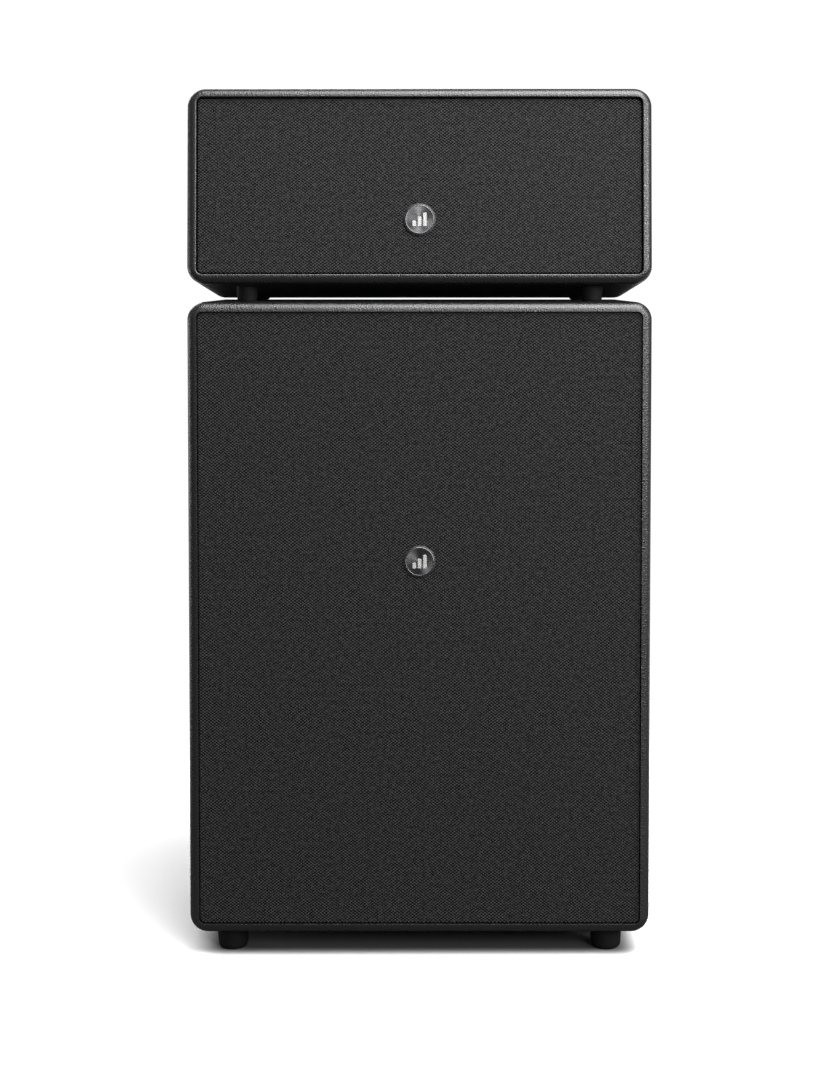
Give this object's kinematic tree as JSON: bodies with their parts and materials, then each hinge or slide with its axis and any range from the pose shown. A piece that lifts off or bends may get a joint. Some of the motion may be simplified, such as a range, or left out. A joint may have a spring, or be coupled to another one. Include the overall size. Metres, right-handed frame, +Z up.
{
  "type": "mini hifi system",
  "caption": "Stacked active loudspeaker system: a stereo speaker head with top controls stands tilted back on a tall bass cabinet, both with cloth grilles and rubber feet.",
  "frame": {"origin": "on the floor, at the middle of the object's footprint", "axes": "+Z up, the front with its grilles and badges faces -Y, +X to the right seen from the front"},
  "size_m": [0.41, 0.2213, 0.7729],
  "materials": {
    "leatherette": "black pebble-grain leatherette over fibreboard",
    "board": "black-stained fibreboard",
    "black_plastic": "fine texture",
    "grille_cloth": "plain open weave, charcoal",
    "spun_aluminium": "circular brushed",
    "button_metal": "satin",
    "foot_rubber": "matte",
    "painted_steel": "satin black",
    "ferrite": "matte grey-black",
    "paper_cone": "woven matte",
    "surround_rubber": "matte",
    "silk_dome": "coated silk",
    "black_aluminium": "brushed and anodised black",
    "circuit_board": "solder mask",
    "copper_winding": "enamelled wire"
  },
  "bodies": {
    "sub": {"sub_cabinet": "leatherette", "sub_baffle": "board", "sub_rear_panel": "board", "sub_brace": "board", "sub_foot_front_left": "foot_rubber", "sub_foot_front_right": "foot_rubber", "sub_foot_rear_left": "foot_rubber", "sub_foot_rear_right": "foot_rubber", "sub_driver_basket": "painted_steel", "sub_driver_magnet": "ferrite", "sub_driver_surround": "surround_rubber", "sub_port_tube": "black_plastic", "sub_amplifier_plate": "black_aluminium", "sub_heat_sink": "black_aluminium", "sub_mains_inlet": "black_plastic", "sub_circuit_board": "circuit_board", "sub_transformer": "copper_winding"},
    "sub_cone": {"sub_driver_cone": "paper_cone"},
    "sub_grille": {"sub_grille_frame": "black_plastic", "sub_grille_cloth": "grille_cloth", "sub_badge": "spun_aluminium"},
    "sub_level": {"sub_level_knob": "black_plastic"},
    "sub_crossover": {"sub_crossover_knob": "black_plastic"},
    "sub_power": {"sub_power_switch": "black_plastic"},
    "sub_phase": {"sub_phase_switch": "black_plastic"},
    "head": {"head_cabinet": "leatherette", "head_baffle": "board", "head_rear_panel": "black_plastic", "head_foot_front_left": "foot_rubber", "head_foot_front_right": "foot_rubber", "head_foot_rear_left": "foot_rubber", "head_foot_rear_right": "foot_rubber", "woofer_left_basket": "painted_steel", "woofer_left_magnet": "ferrite", "woofer_left_surround": "surround_rubber", "woofer_right_basket": "painted_steel", "woofer_right_magnet": "ferrite", "woofer_right_surround": "surround_rubber", "tweeter_left_body": "black_plastic", "tweeter_right_body": "black_plastic", "head_port_tube": "black_plastic", "control_panel": "black_aluminium", "head_circuit_board": "circuit_board", "head_power_supply": "black_aluminium", "head_terminal_plate": "black_plastic"},
    "head_grille": {"head_grille_frame": "black_plastic", "head_grille_cloth": "grille_cloth", "head_badge": "spun_aluminium"},
    "woofer_left": {"woofer_left_cone": "paper_cone"},
    "woofer_right": {"woofer_right_cone": "paper_cone"},
    "tweeter_left": {"tweeter_left_dome": "silk_dome"},
    "tweeter_right": {"tweeter_right_dome": "silk_dome"},
    "button_power": {"button_power": "button_metal"},
    "button_source": {"button_source": "button_metal"},
    "button_volume_down": {"button_volume_down": "button_metal"},
    "button_volume_up": {"button_volume_up": "button_metal"},
    "button_preset_1": {"button_preset_1": "button_metal"},
    "button_preset_2": {"button_preset_2": "button_metal"},
    "button_preset_3": {"button_preset_3": "button_metal"},
    "button_preset_4": {"button_preset_4": "button_metal"}
  },
  "joints": [
    {"name": "head_lift", "type": "slide", "parent": "sub", "child": "head", "axis": [0, 0, 1], "range_m": [0, 0.06]},
    {"name": "sub_grille_pull", "type": "slide", "parent": "sub", "child": "sub_grille", "axis": [0, -1, 0], "range_m": [0, 0.04]},
    {"name": "head_grille_pull", "type": "slide", "parent": "head", "child": "head_grille", "axis": [0, -0.9976, 0.0698], "range_m": [0, 0.04]},
    {"name": "sub_cone_stroke", "type": "slide", "parent": "sub", "child": "sub_cone", "axis": [0, -1, 0], "range_m": [-0.005, 0.005], "stiffness_N_per_m": 2000, "deforming": ["sub_driver_surround"]},
    {"name": "woofer_left_stroke", "type": "slide", "parent": "head", "child": "woofer_left", "axis": [0, -0.9976, 0.0698], "range_m": [-0.003, 0.003], "stiffness_N_per_m": 1250, "deforming": ["woofer_left_surround"]},
    {"name": "woofer_right_stroke", "type": "slide", "parent": "head", "child": "woofer_right", "axis": [0, -0.9976, 0.0698], "range_m": [-0.003, 0.003], "stiffness_N_per_m": 1250, "deforming": ["woofer_right_surround"]},
    {"name": "tweeter_left_stroke", "type": "slide", "parent": "head", "child": "tweeter_left", "axis": [0, -0.9976, 0.0698], "range_m": [-0.0003, 0.0003], "stiffness_N_per_m": 3000},
    {"name": "tweeter_right_stroke", "type": "slide", "parent": "head", "child": "tweeter_right", "axis": [0, -0.9976, 0.0698], "range_m": [-0.0003, 0.0003], "stiffness_N_per_m": 3000},
    {"name": "button_power_press", "type": "slide", "parent": "head", "child": "button_power", "axis": [0, -0.0698, -0.9976], "range_m": [0, 0.0008], "stiffness_N_per_m": 800},
    {"name": "button_source_press", "type": "slide", "parent": "head", "child": "button_source", "axis": [0, -0.0698, -0.9976], "range_m": [0, 0.0008], "stiffness_N_per_m": 800},
    {"name": "button_volume_down_press", "type": "slide", "parent": "head", "child": "button_volume_down", "axis": [0, -0.0698, -0.9976], "range_m": [0, 0.0008], "stiffness_N_per_m": 800},
    {"name": "button_volume_up_press", "type": "slide", "parent": "head", "child": "button_volume_up", "axis": [0, -0.0698, -0.9976], "range_m": [0, 0.0008], "stiffness_N_per_m": 800},
    {"name": "button_preset_1_press", "type": "slide", "parent": "head", "child": "button_preset_1", "axis": [0, -0.0698, -0.9976], "range_m": [0, 0.0008], "stiffness_N_per_m": 800},
    {"name": "button_preset_2_press", "type": "slide", "parent": "head", "child": "button_preset_2", "axis": [0, -0.0698, -0.9976], "range_m": [0, 0.0008], "stiffness_N_per_m": 800},
    {"name": "button_preset_3_press", "type": "slide", "parent": "head", "child": "button_preset_3", "axis": [0, -0.0698, -0.9976], "range_m": [0, 0.0008], "stiffness_N_per_m": 800},
    {"name": "button_preset_4_press", "type": "slide", "parent": "head", "child": "button_preset_4", "axis": [0, -0.0698, -0.9976], "range_m": [0, 0.0008], "stiffness_N_per_m": 800},
    {"name": "sub_level_turn", "type": "hinge", "parent": "sub", "child": "sub_level", "pos_m": [-0.034, 0.08799, 0.182], "axis": [0, 1, 0], "range_deg": [-135, 135]},
    {"name": "sub_crossover_turn", "type": "hinge", "parent": "sub", "child": "sub_crossover", "pos_m": [0.034, 0.08799, 0.182], "axis": [0, 1, 0], "range_deg": [-135, 135]},
    {"name": "sub_power_rock", "type": "hinge", "parent": "sub", "child": "sub_power", "pos_m": [0.045, 0.08399, 0.102], "axis": [-1, 0, 0], "range_deg": [0, 16]},
    {"name": "sub_phase_slide", "type": "slide", "parent": "sub", "child": "sub_phase", "axis": [1, 0, 0], "range_m": [0, 0.004]}
  ]
}
